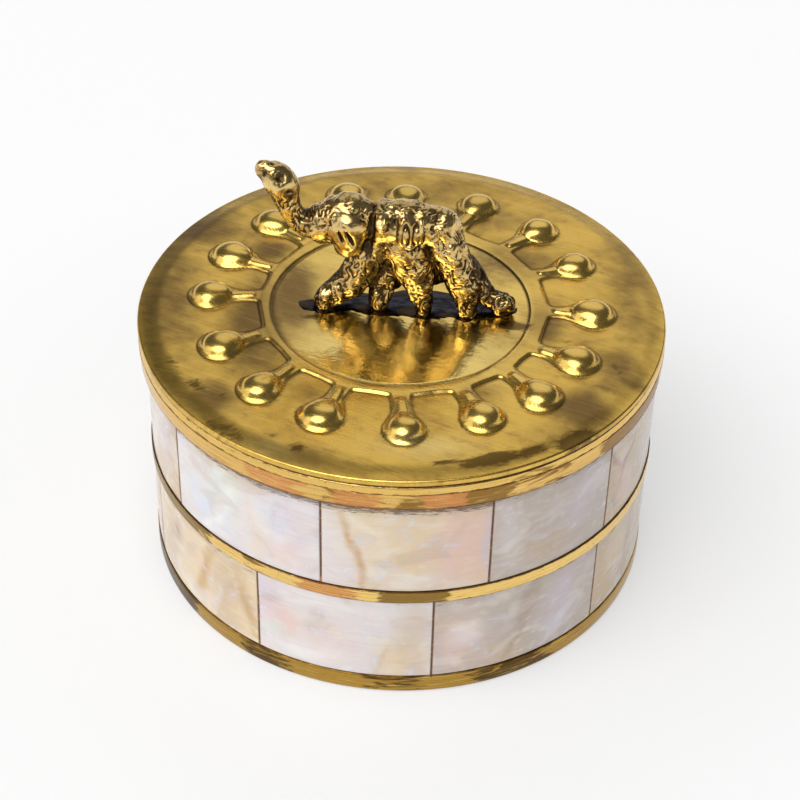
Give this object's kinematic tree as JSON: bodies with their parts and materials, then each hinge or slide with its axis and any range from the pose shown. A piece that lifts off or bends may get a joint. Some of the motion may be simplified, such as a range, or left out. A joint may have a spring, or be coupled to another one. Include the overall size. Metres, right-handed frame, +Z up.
{
  "type": "lidded box",
  "caption": "Round brass paan box with a lift-off lid, faced with two courses of mother-of-pearl tiles; the lid has raised drops round a ring and a cast elephant as its knob.",
  "frame": {"origin": "centre of the flat underside, on the box's axis", "axes": "+Z up along the box's axis and the way the lid lifts off; +X towards the elephant's tail; -Y towards the viewer of the picture"},
  "size_m": [0.1212, 0.1212, 0.1024],
  "materials": {
    "pot_brass": "rolled sheet, tarnished",
    "band_brass": "drawn strip, brushed, with copper-coloured wear",
    "lid_brass": "worked sheet, brushed and tarnished",
    "cast_brass": "rough casting with dark recesses and rubbed high spots",
    "solder": "dark soft solder and burnt flux",
    "upper_shell": "polished mother-of-pearl, white to lilac and cream",
    "lower_shell": "polished mother-of-pearl, cream to pink and grey",
    "lac": "dark amber-brown natural resin"
  },
  "bodies": {
    "box": {"base_disc": "pot_brass", "wall_liner": "pot_brass", "foot_band": "band_brass", "mid_band": "band_brass", "rim_band": "band_brass", "mouth_ring": "band_brass", "upper_lac_bed": "lac", "lower_lac_bed": "lac", "upper_tile_01": "upper_shell", "upper_tile_02": "upper_shell", "upper_tile_03": "upper_shell", "upper_tile_04": "upper_shell", "upper_tile_05": "upper_shell", "upper_tile_06": "upper_shell", "upper_tile_07": "upper_shell", "upper_tile_08": "upper_shell", "upper_tile_09": "upper_shell", "upper_tile_10": "upper_shell", "lower_tile_01": "lower_shell", "lower_tile_02": "lower_shell", "lower_tile_03": "lower_shell", "lower_tile_04": "lower_shell", "lower_tile_05": "lower_shell", "lower_tile_06": "lower_shell", "lower_tile_07": "lower_shell", "lower_tile_08": "lower_shell", "lower_tile_09": "lower_shell"},
    "lid": {"lid_disc": "lid_brass", "lid_collar": "lid_brass", "elephant_knob": "cast_brass", "solder_pool": "solder"}
  },
  "joints": [
    {"name": "lid_lift", "type": "slide", "parent": "box", "child": "lid", "axis": [0, 0, 1], "range_m": [0, 0.09]}
  ]
}
